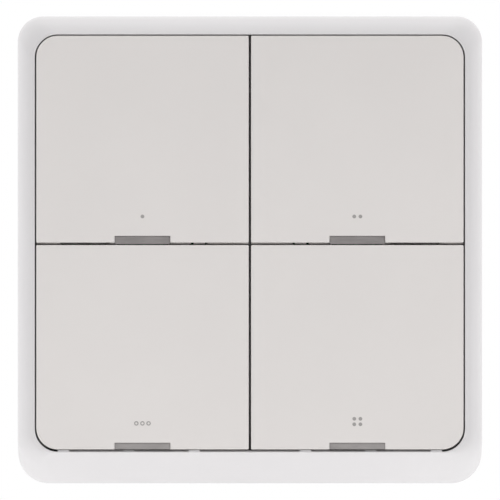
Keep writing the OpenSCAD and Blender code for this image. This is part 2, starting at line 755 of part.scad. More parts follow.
module key_carrier() {
    rib_top_z = carrier_top_z + seam_rib_h;
    color("dimgray") stand() {
        difference() {
            union() {
                slab(carrier_z, carrier_t) tray_outline(0);
                for (spot = screw_spots) translate(spot)
                    disc(boss_d / 2, board_top_z, carrier_z - board_top_z + EPS);
                block([-seam_rib_t / 2, open_bottom, carrier_top_z - EPS],
                    [seam_rib_t / 2, open_top, rib_top_z]);
                block([-open_x, row_seam_y - seam_rib_t / 2, carrier_top_z - EPS],
                    [open_x, row_seam_y + seam_rib_t / 2, rib_top_z]);
                for (p = [0 : 3]) translate([mid_x(p), hinge_y(p) - spring_arm, 0])
                    disc(spring_d / 2 + pass_gap + seam_rib_t, carrier_top_z - EPS, seam_rib_h);
            }
            for (spot = screw_spots) translate(spot) {
                disc(screw_d / 2 + screw_fit, board_top_z - CUT, front_z);
                disc(screw_head_d / 2 + 2 * screw_fit, screw_head_z, front_z);
            }
            for (p = [0 : 3]) {
                carrier_openings(p);
                translate([mid_x(p), hinge_y(p) - spring_arm, 0])
                    disc(spring_d / 2 + pass_gap, carrier_top_z, CUT);
            }
        }
        for (p = [0 : 3], s = SIDES) bearing(p, s);
    }
}

module carrier_screws() {
    color("silver") stand() for (spot = screw_spots) translate(spot) {
        disc(screw_d / 2, screw_head_z - screw_l, screw_l + EPS);
        difference() {
            disc(screw_head_d / 2, screw_head_z, screw_head_h - screw_fit);
            for (turn = [0, 90]) rotate(turn)
                block([-screw_d / 2, -screw_cross_w / 2, carrier_top_z - screw_fit - screw_cross_h],
                    [screw_d / 2, screw_cross_w / 2, carrier_top_z + CUT]);
        }
    }
}

module circuit_board() {
    color("seagreen") stand() difference() {
        slab(board_z, board_t) tray_outline(tray_wall + board_gap);
        for (spot = screw_spots) translate(spot) disc(screw_d / 2 + 2 * screw_fit, 0, front_z);
    }
}

module switch_body(p) {
    socket_z = switch_h - plunger_sunk - switch_travel - plunger_spare;
    color("black") stand() translate([mid_x(p), hinge_y(p) - switch_arm, board_top_z]) {
        difference() {
            block([-switch_w / 2, -switch_w / 2, 0], [switch_w / 2, switch_w / 2, switch_h]);
            disc(plunger_d / 2 + plunger_fit, socket_z, switch_h);
        }
        for (sx = SIDES, sy = SIDES)
            translate([sx * ((switch_w + foot_l) / 2 - EPS), sy * foot_pitch / 2, foot_t / 2])
                cube([foot_l, foot_w, foot_t], center = true);
    }
}

module switch_plunger(p) {
    color("ivory") stand() translate([mid_x(p), hinge_y(p) - switch_arm, 0])
        disc(plunger_d / 2, switch_top_z - plunger_sunk, plunger_sunk + plunger_h);
}

module indicator_leds() {
    color("lightyellow") stand() for (p = [0 : 3])
        translate([mid_x(p), low_y(p) + (pipe_step + window_h) / 2, board_top_z + led_h / 2])
            cube([led_w, led_d, led_h], center = true);
}

// Radio module: its own small board under a shield can
module radio_module() {
    y = (tray_top + row_seam_y) / 2;
    color("silver") stand() translate([0, y, board_top_z]) {
        block([-radio_w / 2, -radio_l / 2, 0], [radio_w / 2, radio_l / 2, radio_board_t]);
        block([radio_can_step - radio_w / 2, radio_can_step - radio_l / 2, radio_board_t - EPS],
            [radio_w / 2 - radio_can_step, radio_l / 2 - radio_can_step, radio_h]);
    }
}

// Folded strip antenna at the board's upper edge
module antenna() {
    legs = 5;
    step = (antenna_w - antenna_strip) / (legs - 1);
    y = tray_top - tray_wall - board_gap - antenna_edge - antenna_l;
    color("goldenrod") stand() translate([-antenna_w / 2, y, board_top_z]) {
        for (k = [0 : legs - 1]) block([k * step, 0, 0], [k * step + antenna_strip, antenna_l, antenna_t]);
        for (k = [0 : legs - 2]) {
            bar_y = k % 2 == 0 ? antenna_l - antenna_strip : 0;
            block([k * step, bar_y, 0], [(k + 1) * step + antenna_strip, bar_y + antenna_strip, antenna_t]);
        }
    }
}

module controller_chip() {
    color("black") stand() translate([0, chip_y, board_top_z]) difference() {
        block([-chip_w / 2, -chip_w / 2, 0], [chip_w / 2, chip_w / 2, chip_h]);
        translate([chip_dot_d - chip_w / 2, chip_w / 2 - chip_dot_d, chip_h - chip_dot_h])
            cylinder(d = chip_dot_d, h = CUT);
    }
}

module crystal() {
    y = chip_y - chip_w / 2 - crystal_gap - crystal_w / 2;
    color("silver") stand() translate([0, y, board_top_z + crystal_h / 2])
        cube([crystal_l, crystal_w, crystal_h], center = true);
}

// Small resistors and capacitors beside the controller chip
module board_components() {
    rows = 4;
    x = chip_w / 2 + component_gap + component_l / 2;
    color("tan") stand() for (s = SIDES, k = [0 : rows - 1]) {
        y = chip_y + (k - (rows - 1) / 2) * component_pitch;
        translate([s * x, y, board_top_z + component_h / 2])
            cube([component_l, component_w, component_h], center = true);
    }
}

module coin_cell() {
    color("lightgray") stand() {
        disc(cell_d / 2, cell_z, cell_t - cell_step);
        disc(cell_d / 2 - cell_rim, cell_z + cell_t - cell_step - EPS, cell_step + EPS);
    }
}

// Spring strip from the board down to the cell's inner face
module negative_contact() {
    top = board_z;
    low = cell_z + cell_t + cell_gap;
    bend = contact_slope / 2;
    start = -bend - contact_foot;
    tip = bend + contact_tip;
    color("silver") stand() translate([0, contact_w / 2, 0]) rotate([90, 0, 0]) linear_extrude(contact_w)
        polygon([[start, top], [-bend, top], [bend, low + contact_t], [tip, low + contact_t],
            [tip, low], [bend, low], [-bend, top - contact_t], [start, top - contact_t]]);
}

// Angled strip from the board down beside the cell's rim
module positive_contact() {
    inner_x = cell_d / 2 + cell_gap;
    low_z = cap_lug_z + cap_lug_h + 2 * cap_fit;
    color("silver") stand() {
        block([inner_x, -contact_w / 2, low_z], [inner_x + contact_t, contact_w / 2, board_z]);
        block([inner_x, -contact_w / 2, board_z - contact_t],
            [inner_x + contact_foot / 2, contact_w / 2, board_z]);
    }
}

// Twist cap with three bayonet lugs that grip the inside of the housing's floor
module battery_cap() {
    flange_z = floor_z - cap_fit - cap_flange_t;
    color("gainsboro") stand() {
        difference() {
            union() {
                disc(ring_r + cap_flange_reach, flange_z, cap_flange_t);
                disc(ring_r, flange_z, cap_lug_z + cap_lug_h - flange_z);
            }
            disc(ring_in_r, cell_z - cell_gap, CUT + cap_lug_h);
            block([-coin_slot_l / 2, -coin_slot_w / 2, 0],
                [coin_slot_l / 2, coin_slot_w / 2, flange_z + coin_slot_h]);
        }
        for (a = cap_lugs) rotate(a - cap_lug_angle / 2) translate([0, 0, cap_lug_z])
            rotate_extrude(angle = cap_lug_angle)
                translate([ring_r - EPS, 0]) square([cap_lug_reach + EPS, cap_lug_h]);
    }
}

module rear_housing() {
    color("whitesmoke") stand() {
        difference() {
            union() {
                slab(0, floor_top_z) frame_outline(base_inset);
                slab(floor_top_z - EPS, carrier_z - floor_top_z + EPS) difference() {
                    tray_outline(0);
                    tray_outline(tray_wall);
                }
                for (spot = screw_spots) translate(spot)
                    disc(boss_d / 2, floor_top_z - EPS, board_z - floor_top_z + EPS);
                disc(well_r + well_wall, floor_top_z - EPS, well_top_z - floor_top_z + EPS);
            }
            slab(-CUT, floor_z + CUT) frame_outline(base_inset + base_wall);
            snap_ridges(frame_w / 2 - base_inset, frame_h / 2 - base_inset, snap_z,
                snap_reach + snap_fit - frame_fit, snap_fit);
            snap_ridges(frame_w / 2 - base_inset - base_wall, frame_h / 2 - base_inset - base_wall,
                plate_snap_z, snap_reach + snap_fit - plate_fit, snap_fit);
            for (spot = screw_spots) translate(spot)
                disc(screw_d / 2 + screw_fit, screw_head_z - screw_l - screw_fit, front_z);
            disc(well_r, floor_top_z, front_z);
            disc(ring_r + cap_fit, 0, front_z);
            for (a = cap_lugs) rotate(a - cap_turn - cap_entry_angle / 2) translate([0, 0, floor_z - CUT])
                rotate_extrude(angle = cap_entry_angle)
                    translate([ring_r, 0]) square([cap_lug_reach + cap_fit, floor_t + 2 * CUT]);
        }
    }
}

// A slot along x, overall length and width, cut through a plate
module slot(length, width, z, height) {
    reach = (length - width) / 2;
    for (s = SIDES) translate([s * reach, 0, 0]) disc(width / 2, z, height);
    block([-reach, -width / 2, z], [reach, width / 2, z + height]);
}

module wall_plate() {
    inset = base_inset + base_wall + plate_fit;
    color("lightgray") stand() {
        difference() {
            slab(0, plate_t) frame_outline(inset);
            disc(plate_open_r, -CUT, plate_t + 2 * CUT);
            for (turn = [0, 90, 180, 270]) rotate(turn) translate([wall_spacing / 2, 0, 0]) {
                slot(wall_slot_l, wall_slot_w, -CUT, plate_t + 2 * CUT);
                slot(wall_slot_l + wall_head_w - wall_slot_w, wall_head_w, plate_t - wall_head_h, plate_t);
            }
        }
        snap_ridges(frame_w / 2 - inset, frame_h / 2 - inset, plate_snap_z, snap_reach, 0);
    }
}

front_frame();
key_carrier();
carrier_screws();
circuit_board();
radio_module();
antenna();
controller_chip();
crystal();
board_components();
indicator_leds();
coin_cell();
positive_contact();
negative_contact();
battery_cap();
rear_housing();
wall_plate();
for (p = [0 : 3]) {
    button(p);
    light_window(p);
    return_spring(p);
    switch_body(p);
    switch_plunger(p);
}
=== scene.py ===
import json
import math

import bmesh
import bpy
from mathutils import Matrix, Vector


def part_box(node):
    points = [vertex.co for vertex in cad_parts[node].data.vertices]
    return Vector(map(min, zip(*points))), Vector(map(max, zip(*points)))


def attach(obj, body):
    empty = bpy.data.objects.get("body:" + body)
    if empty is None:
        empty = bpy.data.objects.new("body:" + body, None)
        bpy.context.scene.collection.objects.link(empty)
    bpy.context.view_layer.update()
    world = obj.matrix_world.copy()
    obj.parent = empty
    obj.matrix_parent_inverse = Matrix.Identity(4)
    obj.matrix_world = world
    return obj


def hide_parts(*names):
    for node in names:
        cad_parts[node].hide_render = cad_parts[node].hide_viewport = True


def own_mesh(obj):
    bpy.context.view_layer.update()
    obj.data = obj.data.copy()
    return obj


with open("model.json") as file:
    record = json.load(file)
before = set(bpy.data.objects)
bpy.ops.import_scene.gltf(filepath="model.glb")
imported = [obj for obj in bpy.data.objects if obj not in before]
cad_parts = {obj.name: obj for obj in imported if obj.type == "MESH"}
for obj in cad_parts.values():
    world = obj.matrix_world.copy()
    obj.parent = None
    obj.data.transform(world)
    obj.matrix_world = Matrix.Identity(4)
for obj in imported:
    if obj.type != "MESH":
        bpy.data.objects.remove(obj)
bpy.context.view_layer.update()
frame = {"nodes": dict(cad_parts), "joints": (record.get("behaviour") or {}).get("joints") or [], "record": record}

# Shapes are drawn in millimetres, as seen from the front: x to the right, y up, z out from the wall.
MM = 0.001
STAND = Matrix.Rotation(math.radians(90), 4, "X") @ Matrix.Scale(MM, 4)
PLACES = ("upper_left", "upper_right", "lower_left", "lower_right")


def at(x, y, z):
    """A point of the drawing in the row frame, in metres."""
    return STAND @ Vector((x, y, z))


def drawn(node):
    """Lowest and highest corner of a CAD node in the drawing."""
    low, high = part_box(node)
    return Vector((low.x, low.z, -high.y)) / MM, Vector((high.x, high.z, -low.y)) / MM


# Frame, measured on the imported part
frame_low, frame_high = drawn("front_frame")
half_w = frame_high.x
frame_top = frame_high.y
frame_bottom = frame_low.y
frame_back = frame_low.z
front = frame_high.z

# Rim and chin of the frame
RIM_SIDE = 3.05
RIM_TOP = 3.25
CHIN_H = 5.75
RIM_DEPTH = 4.0
RIM_LAND = 0.15
RIM_TURN = 90
TOP_TURN = 64
CHIN_TURN = 34
CHIN_FOOT_TURN = 18
CHIN_FOOT_EDGE = 0.12
CHIN_FOOT_RUN = 3.0
CORNER_TOP_R = 4.5
CORNER_BOTTOM_R = 5.4
OPENING_R = 4.05
FRAME_WALL = 1.6
LIP_T = 2.2
CHIN_SHELF = 0.3
SEAM_EDGE = 0.1
BACK_EDGE = 0.3
chin_turn = math.radians(CHIN_TURN)
chin_foot = math.radians(CHIN_FOOT_TURN)
chin_r = (CHIN_H - RIM_LAND) / (math.cos(chin_foot) - math.cos(chin_turn))
chin_start = front - chin_r * (math.sin(chin_turn) - math.sin(chin_foot))
foot_start = chin_start - CHIN_FOOT_RUN
opening_bottom = frame_bottom + CHIN_H
lip_z = front - LIP_T

# Tabs and ledge in the lower seam, snap ridges and pry notch
TAB_START = 9.8
TAB_PITCH = 11.55
TAB_W = 2.0
TAB_REACH = 0.27
TAB_SINK = 0.15
WINDOW_TAB = 1
WINDOW_TAB_SINK = 0.5
LAST_TAB = 2
LEDGE_REACH = 0.22
LEDGE_SINK = 0.9
SNAP_L = 12.0
SNAP_H = 1.0
SNAP_REACH = 0.5
SNAP_EDGE = 0.2
NOTCH_W = 9.0
NOTCH_H = 1.2
NOTCH_REACH = 2.4
NOTCH_EDGE = 0.4

# Keys
KEY_T = 1.8
KEY_CORNER_R = 3.8
KEY_INNER_R = 0.22
KEY_EDGE = 0.16
KEY_SUPPORT = 0.06
SKIRT_T = 1.0
SKIRT_H = 1.0
SKIRT_EDGE = 0.12
key_under = front - KEY_T

# Lips of the upper keys, in the seam between the rows
KEY_LIP_REACH = 0.28
KEY_LIP_SINK = 1.2
LIP_GAP_X = 5.8
LIP_GAP_W = 8.7
LIP_STEP_SINK = 0.4
LIP_STEP_T = 0.4
LIP_SLOTS_X = 10.05
LIP_SLOT_PITCH = 2.5
LIP_SLOT_W = 0.45
LIP_EDGE = 0.04

# Marks that number the keys
MARK_D = 0.68
MARK_PITCH = 1.08
MARK_RISE = 4.6
MARK_DEPTH = 0.1
RING_D = 0.8
RING_LINE = 0.2
INK_SINK = 0.02
INK_FIT = 0.01
MARK_SPOTS = {
    "upper_left": ((0, 0),),
    "upper_right": ((-0.5, 0), (0.5, 0)),
    "lower_left": ((-1, 0), (0, 0), (1, 0)),
    "lower_right": ((-0.5, -0.15), (0.5, -0.15), (-0.5, 0.75), (0.5, 0.75)),
}

# Light windows
WINDOW_W = 9.75
WINDOW_H = 1.14
WINDOW_FIT = 0.04
WINDOW_SINK = 0.08
WINDOW_EDGE = 0.1
WINDOW_DROP = 0.28
FLANGE_REACH = 1.0
FLANGE_T = 0.8
PIPE_W = 8.0
PIPE_STEP = 0.3
PIPE_END = 12.4

# Undersides of the keys
PIN_D = 2.0
PIN_L = 2.25
LUG_X = 13.0
LUG_T = 1.8
LUG_W = 3.4
LUG_FOOT = 0.3
ACTUATOR_D = 3.2
ACTUATOR_TIP_R = 0.08
ACTUATOR_END = 13.5
SWITCH_ARM = 14.0
SPRING_ARM = 22.0
SPRING_POST_D = 2.8
HOOK_INNER_X = 9.75
HOOK_OUTER_X = 10.4
HOOK_W = 2.0
HOOK_T = 0.9
HOOK_CATCH = 0.6
HOOK_NOSE = 0.8
HOOK_END = 12.05

# Steps along curves
CORNER_STEPS = 20
SMALL_STEPS = 5
ROUND_STEPS = 48
WIDE_STEPS = 144
MARK_STEPS = 24
SLOT_STEPS = 12
RIM_STEPS = 28
CHIN_STEPS = 24

# Meshes: the angle from which an edge stays sharp, the reach of a weld, and how far a cut runs past a face
SHARP_ANGLE = 32
WELD_REACH = 0.002
OVER = 1.0


# Mesh helpers
def rounded_outline(x0, x1, y0, y1, radii, steps=CORNER_STEPS):
    """Points round a rectangle, anticlockwise from its lower left corner, with a radius for each corner."""
    corners = ((x0, y0, 180), (x1, y0, 270), (x1, y1, 0), (x0, y1, 90))
    inward = ((1, 1), (-1, 1), (-1, -1), (1, -1))
    points = []
    for (x, y, start), (sx, sy), r in zip(corners, inward, radii):
        for k in range(steps + 1):
            a = math.radians(start + 90 * k / steps)
            points.append((x + sx * r + r * math.cos(a), y + sy * r + r * math.sin(a)))
    return points


def lifted(outline, z):
    return [(x, y, z) for x, y in outline]


def loft(bm, rings, closed=False):
    """Skin over rings of equal length. A closed loft joins its two ends, an open one gets caps."""
    loops = [[bm.verts.new(p) for p in ring] for ring in rings]
    following = loops[1:] + loops[:1] if closed else loops[1:]
    for a, b in zip(loops, following):
        for i in range(len(a)):
            j = (i + 1) % len(a)
            bm.faces.new((a[i], a[j], b[j], b[i]))
    if not closed:
        bm.faces.new(loops[0][::-1])
        bm.faces.new(loops[-1])


def turned(bm, profile, x=0.0, y=0.0, steps=ROUND_STEPS, closed=False):
    """A body turned about the z axis through (x, y), from (radius, z) points."""
    angles = [2 * math.pi * k / steps for k in range(steps)]
    rings = [[(x + r * math.cos(a), y + r * math.sin(a), z) for a in angles] for r, z in profile]
    loft(bm, rings, closed)


def box(bm, low, high, edge=0.0):
    """A box between two corners, with its edges rounded where a size is given for them."""
    low, high = Vector(low), Vector(high)
    made = bmesh.ops.create_cube(bm, size=1.0)["verts"]
    bmesh.ops.scale(bm, vec=high - low, verts=made)
    bmesh.ops.translate(bm, vec=(low + high) / 2, verts=made)
    if edge:
        edges = {e for v in made for e in v.link_edges}
        bmesh.ops.bevel(bm, geom=list(edges), offset=edge, segments=2, affect="EDGES", profile=0.5)


def pin(bm, x, y, z, radius, length, side):
    """A cylinder along x from the face at x, to the left or to the right."""
    turn = Matrix.Rotation(math.radians(90), 4, "Y")
    place = Matrix.Translation((x + side * length / 2, y, z)) @ turn
    bmesh.ops.create_cone(
        bm, cap_ends=True, segments=ROUND_STEPS, radius1=radius, radius2=radius, depth=length, matrix=place)


def temporary(build):
    """An object in the drawing's millimetres, filled by build(bm)."""
    bm = bmesh.new()
    build(bm)
    bmesh.ops.recalc_face_normals(bm, faces=bm.faces)
    mesh = bpy.data.meshes.new("temporary")
    bm.to_mesh(mesh)
    bm.free()
    made = bpy.data.objects.new("temporary", mesh)
    bpy.context.scene.collection.objects.link(made)
    return made


def piece(name, build, add=None, cut=None):
    """A mesh in the row frame from build(bm), with what add(bm) makes joined on and cut(bm) taken off."""
    base = temporary(build)
    tools = []
    for shapes, operation in ((add, "UNION"), (cut, "DIFFERENCE")):
        if shapes:
            tool = temporary(shapes)
            tools.append(tool)
            step = base.modifiers.new(operation, "BOOLEAN")
            step.operation = operation
            step.solver = "EXACT"
            step.use_self = True
            step.object = tool
    graph = bpy.context.evaluated_depsgraph_get()
    mesh = bpy.data.meshes.new_from_object(base.evaluated_get(graph))
    for used in (base, *tools):
        bpy.data.objects.remove(used)
    mesh.name = name
    weld(mesh)
    mesh.transform(STAND)
    mark_sharp(mesh)
    made = bpy.data.objects.new(name, mesh)
    bpy.context.scene.collection.objects.link(made)
    return made


def weld(mesh):
    """Joins points that a cut has left on top of each other, so that no face is without area."""
    bm = bmesh.new()
    bm.from_mesh(mesh)
    bmesh.ops.remove_doubles(bm, verts=bm.verts, dist=WELD_REACH)
    bmesh.ops.dissolve_degenerate(bm, edges=bm.edges, dist=WELD_REACH)
    bm.to_mesh(mesh)
    bm.free()


def mark_sharp(mesh):
    """Smooth faces, with an edge kept wherever two of them meet at a clear angle."""
    bm = bmesh.new()
    bm.from_mesh(mesh)
    for face in bm.faces:
        face.smooth = True
    for edge in bm.edges:
        edge.smooth = edge.calc_face_angle(0.0) < math.radians(SHARP_ANGLE)
    bm.to_mesh(mesh)
    bm.free()


def fit_out(obj, body, node, finish):
    """Puts a piece on its body, in the place of its CAD node, with its finish."""
    obj.data.materials.clear()
    obj.data.materials.append(finish)
    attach(obj, body)
    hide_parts(node)


# Materials
def srgb(r, g, b):
    """A colour as a screen shows it, 0 to 255, as the shader's linear one."""
    def linear(v):
        v /= 255
        return v / 12.92 if v <= 0.04045 else ((v + 0.055) / 1.055) ** 2.4
    return (linear(r), linear(g), linear(b), 1.0)


def new_material(name):
    made = bpy.data.materials.new(name)
    made.use_nodes = True
    tree = made.node_tree
    return made, tree, tree.nodes["Principled BSDF"]


def node(tree, kind, inputs=(), **settings):
    """A shader node with its settings and its inputs, which are values or other nodes' outputs."""
    made = tree.nodes.new(kind)
    for key, value in settings.items():
        setattr(made, key, value)
    for socket, value in dict(inputs).items():
        if isinstance(value, bpy.types.NodeSocket):
            tree.links.new(value, made.inputs[socket])
        else:
            made.inputs[socket].default_value = value
    return made


def ramp(tree, factor, stops):
    """A colour ramp over (position, colour) stops."""
    made = node(tree, "ShaderNodeValToRGB", {"Fac": factor})
    points = made.color_ramp.elements
    while len(points) < len(stops):
        points.new(1.0)
    for point, (position, colour) in zip(points, stops):
        point.position = position
        point.color = colour
    return made.outputs["Color"]


def shade(colour, factor):
    return (colour[0] * factor, colour[1] * factor, colour[2] * factor, 1.0)


# Textures of the finishes: scales per metre, depths in millimetres
NOISE_LOW = 0.3
NOISE_HIGH = 0.7
SOME_DETAIL = 2.0
MORE_DETAIL = 3.0
MOST_DETAIL = 4.0
CLOUD_SCALE = 45.0
GRAIN_SCALE = 3200.0
GRAIN_DEPTH = 0.02
PLASTIC_SPREAD = 0.05
PLASTIC_GLOSS = 0.4
SMOKE_STRETCH = (1.0, 0.2, 6.0)
SMOKE_SCALE = 260.0
SMOKE_FINE_SCALE = 4000.0
SMOKE_ROUGHNESS = (0.3, 0.42)
INK_SCALE = 9000.0
INK_SPREAD = 0.15
INK_BUMP = 0.2
INK_DEPTH = 0.01
INK_ROUGHNESS = 0.6
METAL_SCALE = 900.0
METAL_SHADES = (0.88, 1.08)
METAL_SPREAD = 0.08
TRACK_SCALE = 160.0
TRACK_W = 0.05
TRACK_SHADE = 0.9
TRACK_BUMP = 0.4
TRACK_DEPTH = 0.03
BOARD_ROUGHNESS = 0.35


def noise(tree, place, scale, detail=SOME_DETAIL):
    made = node(tree, "ShaderNodeTexNoise", {"Vector": place, "Scale": scale, "Detail": detail})
    return made.outputs["Fac"]


def mottled(tree, factor, low, high):
    """A colour that goes from low to high with a noise."""
    return ramp(tree, factor, ((NOISE_LOW, low), (NOISE_HIGH, high)))


def uneven(tree, factor, middle, spread):
    """A number that strays from its middle by up to spread with a noise."""
    return node(tree, "ShaderNodeMapRange", {
        "Value": factor, "From Min": NOISE_LOW, "From Max": NOISE_HIGH,
        "To Min": middle - spread, "To Max": middle + spread}).outputs["Result"]


def bumped(tree, height, strength, depth):
    """Normals over bumps of a depth in millimetres."""
    return node(tree, "ShaderNodeBump", {
        "Height": height, "Strength": strength, "Distance": depth * MM}).outputs["Normal"]


def moulded_plastic(name, colour, roughness, grain, cloud=0.012):
    """Plastic from a spark-eroded mould: a faint cloud in its colour, uneven gloss and a fine grain."""
    made, tree, shader = new_material(name)
    place = node(tree, "ShaderNodeTexCoord").outputs["Object"]
    clouds = noise(tree, place, CLOUD_SCALE, MOST_DETAIL)
    spots = noise(tree, place, GRAIN_SCALE, MORE_DETAIL)
    tint = mottled(tree, clouds, shade(colour, 1 - cloud), shade(colour, 1 + cloud))
    tree.links.new(tint, shader.inputs["Base Color"])
    tree.links.new(uneven(tree, spots, roughness, PLASTIC_SPREAD), shader.inputs["Roughness"])
    tree.links.new(bumped(tree, spots, grain, GRAIN_DEPTH), shader.inputs["Normal"])
    shader.inputs["Specular IOR Level"].default_value = PLASTIC_GLOSS
    return made


def smoked_plastic(name, dark, light):
    """Smoked see-through plastic over a dark pocket: darker where it is deepest, with a clear gloss."""
    made, tree, shader = new_material(name)
    place = node(tree, "ShaderNodeTexCoord").outputs["Object"]
    streaks = node(tree, "ShaderNodeMapping", {"Vector": place, "Scale": SMOKE_STRETCH}).outputs["Vector"]
    depth = noise(tree, streaks, SMOKE_SCALE, MORE_DETAIL)
    tree.links.new(mottled(tree, depth, dark, light), shader.inputs["Base Color"])
    gloss = node(tree, "ShaderNodeMapRange", {
        "Value": noise(tree, place, SMOKE_FINE_SCALE),
        "To Min": SMOKE_ROUGHNESS[0], "To Max": SMOKE_ROUGHNESS[1]})
    tree.links.new(gloss.outputs["Result"], shader.inputs["Roughness"])
    shader.inputs["Specular IOR Level"].default_value = PLASTIC_GLOSS
    return made


def printed_ink(name, colour):
    """Ink with the fine speckle of a pad print."""
    made, tree, shader = new_material(name)
    place = node(tree, "ShaderNodeTexCoord").outputs["Object"]
    specks = noise(tree, place, INK_SCALE)
    tint = mottled(tree, specks, shade(colour, 1 - INK_SPREAD), shade(colour, 1 + INK_SPREAD))
    tree.links.new(tint, shader.inputs["Base Color"])
    tree.links.new(bumped(tree, specks, INK_BUMP, INK_DEPTH), shader.inputs["Normal"])
    shader.inputs["Roughness"].default_value = INK_ROUGHNESS
    return made


def drawn_metal(name, colour, roughness, along=(1.0, 1.0, 12.0)):
    """Bare metal with fine drawing lines."""
    made, tree, shader = new_material(name)
    place = node(tree, "ShaderNodeTexCoord").outputs["Object"]
    lines = node(tree, "ShaderNodeMapping", {"Vector": place, "Scale": along}).outputs["Vector"]
    marks = noise(tree, lines, METAL_SCALE, MOST_DETAIL)
    tint = mottled(tree, marks, shade(colour, METAL_SHADES[0]), shade(colour, METAL_SHADES[1]))
    tree.links.new(tint, shader.inputs["Base Color"])
    tree.links.new(uneven(tree, marks, roughness, METAL_SPREAD), shader.inputs["Roughness"])
    shader.inputs["Metallic"].default_value = 1.0
    return made


def coated_board(name, mask, copper):
    """Circuit board: solder mask over tracks that show as paler lines."""
    made, tree, shader = new_material(name)
    place = node(tree, "ShaderNodeTexCoord").outputs["Object"]
    flat = node(tree, "ShaderNodeMapping", {
        "Vector": place, "Rotation": (math.radians(90), 0, 0)}).outputs["Vector"]
    tracks = node(tree, "ShaderNodeTexBrick", {
        "Vector": flat, "Scale": TRACK_SCALE, "Mortar Size": TRACK_W,
        "Color1": mask, "Color2": shade(mask, TRACK_SHADE), "Mortar": copper})
    tree.links.new(tracks.outputs["Color"], shader.inputs["Base Color"])
    tree.links.new(bumped(tree, tracks.outputs["Fac"], TRACK_BUMP, TRACK_DEPTH), shader.inputs["Normal"])
    shader.inputs["Roughness"].default_value = BOARD_ROUGHNESS
    return made


FRAME_WHITE = srgb(211, 209, 210)
KEY_WHITE = srgb(218, 214, 212)
frame_white = moulded_plastic("frame_white", FRAME_WHITE, 0.42, 0.12)
key_white = moulded_plastic("key_white", KEY_WHITE, 0.5, 0.12)
FINISHES = {
    "frame_white": frame_white,
    "key_white": key_white,
    "carrier_grey": moulded_plastic("carrier_grey", srgb(200, 199, 198), 0.6, 0.3, cloud=0.03),
    "housing_white": moulded_plastic("housing_white", srgb(218, 217, 215), 0.5, 0.25),
    "plate_grey": moulded_plastic("plate_grey", srgb(172, 172, 170), 0.55, 0.4, cloud=0.03),
    "board_green": coated_board("board_green", srgb(24, 92, 58), srgb(58, 132, 84)),
    "shield_metal": drawn_metal("shield_metal", srgb(200, 200, 196), 0.35),
    "antenna_brass": drawn_metal("antenna_brass", srgb(214, 178, 98), 0.35),
    "chip_black": moulded_plastic("chip_black", srgb(34, 34, 36), 0.55, 0.3, cloud=0.1),
    "component_tan": moulded_plastic("component_tan", srgb(176, 146, 108), 0.5, 0.2, cloud=0.1),
    "led_resin": moulded_plastic("led_resin", srgb(240, 226, 150), 0.2, 0.05, cloud=0.05),
    "cell_metal": drawn_metal("cell_metal", srgb(196, 196, 194), 0.3, along=(1.0, 10.0, 1.0)),
    "steel": drawn_metal("steel", srgb(190, 190, 192), 0.3),
    "plunger_ivory": moulded_plastic("plunger_ivory", srgb(226, 216, 188), 0.5, 0.2, cloud=0.04),
}
# One smoked plastic in two copies: the upper row's is painted darker as painted shade, the lower row's is painted
# lighter as painted light
WINDOW_PAINTED_SHADES = {
    "upper": smoked_plastic("window_smoke_upper_painted_shade", srgb(124, 120, 119), srgb(138, 134, 133)),
    "lower": smoked_plastic("window_smoke_lower_painted_light", srgb(141, 137, 136), srgb(155, 151, 150)),
}
mark_ink = printed_ink("mark_ink", srgb(156, 153, 151))


# Front frame
def edge_inset(z, width, depth, turn):
    """How far an edge has drawn in at depth z, as it turns by an angle over a width and a depth."""
    share = max(0.0, 1 - (front - z) / depth) * math.sin(math.radians(turn))
    return width * (1 - math.sqrt(1 - share * share)) / (1 - math.cos(math.radians(turn)))


def chin_inset(z):
    """How far the chin has drawn in at depth z: a gently curved slope from a softened lower edge."""
    u = z - chin_start + chin_r * math.sin(chin_foot)
    slope = chin_r * math.cos(chin_foot) - math.sqrt(chin_r * chin_r - u * u)
    return (slope + math.hypot(slope, CHIN_FOOT_EDGE)) / 2


def frame_ring(z, side, top, chin, top_r, bottom_r):
    """The frame's outline at depth z, drawn in at the sides, the top and the bottom."""
    radii = (bottom_r, bottom_r, top_r, top_r)
    return lifted(rounded_outline(
        side - half_w, half_w - side, frame_bottom + chin, frame_top - top, radii), z)


def even_ring(z, inset):
    return frame_ring(z, inset, inset, inset, CORNER_TOP_R - inset, CORNER_BOTTOM_R - inset)


def rim_ring(z):
    """The frame's outer skin at depth z."""
    side = edge_inset(z, RIM_SIDE - RIM_LAND, RIM_DEPTH, RIM_TURN)
    top = edge_inset(z, RIM_TOP - RIM_LAND, RIM_DEPTH, TOP_TURN)
    chin = chin_inset(z)
    side_share = side / (RIM_SIDE - RIM_LAND)
    chin_share = chin / (CHIN_H - RIM_LAND)
    land_r = OPENING_R + RIM_LAND
    top_r = CORNER_TOP_R + (land_r - CORNER_TOP_R) * side_share
    bottom_r = CORNER_BOTTOM_R + (land_r - CORNER_BOTTOM_R) * chin_share
    return frame_ring(z, side, top, chin, top_r, bottom_r)


def opening_ring(z, grow):
    """The opening for the keys at depth z, wider by grow."""
    r = OPENING_R + grow
    return frame_ring(z, RIM_SIDE - grow, RIM_TOP - grow, CHIN_H - grow, r, r)


def quarter(steps):
    """Sine and one minus cosine over a quarter turn."""
    angles = [math.pi / 2 * k / steps for k in range(steps + 1)]
    return [(math.sin(a), 1 - math.cos(a)) for a in angles]


